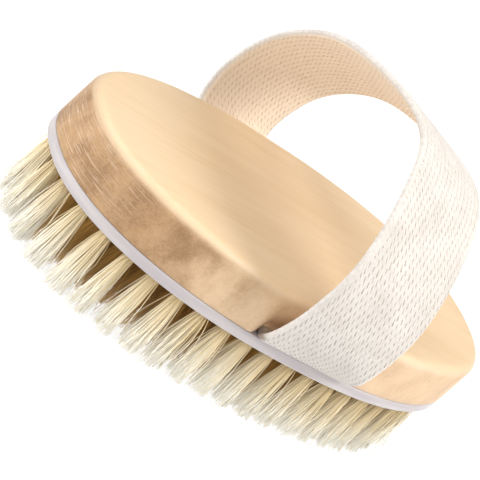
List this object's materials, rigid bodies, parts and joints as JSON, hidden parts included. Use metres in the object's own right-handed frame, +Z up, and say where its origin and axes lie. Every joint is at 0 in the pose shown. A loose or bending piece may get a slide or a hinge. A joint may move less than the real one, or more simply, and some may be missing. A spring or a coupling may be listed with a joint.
{
  "type": "body dry brush",
  "caption": "Oval palm brush: a wooden back over a plastic plate set with bristle tufts, with a cotton webbing hand strap arched across it.",
  "frame": {"origin": "on the trimmed tip of the middle tuft, in the plane that the bristle tips lie in", "axes": "+X along the oval's length, +Y across it from front to back, +Z up from the bristles to the wooden back"},
  "size_m": [0.1352, 0.0932, 0.0789],
  "materials": {
    "beech": "pale beech, sanded, thin satin lacquer",
    "plate_plastic": "milky white moulded plastic, smooth",
    "cotton_webbing": "undyed heavy cotton webbing, coarse weave",
    "bristle": "natural cream bristle, trimmed",
    "steel": "bright wire"
  },
  "bodies": {
    "brush": {"wood_back": "beech", "bristle_plate": "plate_plastic", "strap_tail_front": "cotton_webbing", "strap_staple_front_1": "steel", "strap_staple_front_2": "steel", "strap_tail_back": "cotton_webbing", "strap_staple_back_1": "steel", "strap_staple_back_2": "steel", "plate_pin_1": "steel", "plate_pin_2": "steel", "plate_pin_3": "steel", "plate_pin_4": "steel", "outer_tuft_01": "bristle", "outer_tuft_02": "bristle", "outer_tuft_03": "bristle", "outer_tuft_04": "bristle", "outer_tuft_05": "bristle", "outer_tuft_06": "bristle", "outer_tuft_07": "bristle", "outer_tuft_08": "bristle", "outer_tuft_09": "bristle", "outer_tuft_10": "bristle", "outer_tuft_11": "bristle", "outer_tuft_12": "bristle", "outer_tuft_13": "bristle", "outer_tuft_14": "bristle", "outer_tuft_15": "bristle", "outer_tuft_16": "bristle", "outer_tuft_17": "bristle", "outer_tuft_18": "bristle", "outer_tuft_19": "bristle", "outer_tuft_20": "bristle", "outer_tuft_21": "bristle", "outer_tuft_22": "bristle", "outer_tuft_23": "bristle", "outer_tuft_24": "bristle", "outer_tuft_25": "bristle", "outer_tuft_26": "bristle", "outer_tuft_27": "bristle", "outer_tuft_28": "bristle", "outer_tuft_29": "bristle", "outer_tuft_30": "bristle", "outer_tuft_31": "bristle", "outer_tuft_32": "bristle", "outer_tuft_33": "bristle", "outer_tuft_34": "bristle", "outer_tuft_35": "bristle", "outer_tuft_36": "bristle", "outer_tuft_37": "bristle", "outer_tuft_38": "bristle", "outer_tuft_39": "bristle", "outer_tuft_40": "bristle", "outer_tuft_41": "bristle", "outer_tuft_42": "bristle", "outer_tuft_43": "bristle", "tuft_ring_2": "bristle", "tuft_ring_3": "bristle", "tuft_ring_4": "bristle", "tuft_row_middle": "bristle"},
    "strap_loop": {"strap_loop": "cotton_webbing"}
  },
  "joints": [
    {"name": "strap_lean", "type": "hinge", "parent": "brush", "child": "strap_loop", "pos_m": [0, 0, 0.0237], "axis": [0, 1, 0], "range_deg": [-32, 10], "stiffness_Nm_per_rad": 0.2}
  ]
}
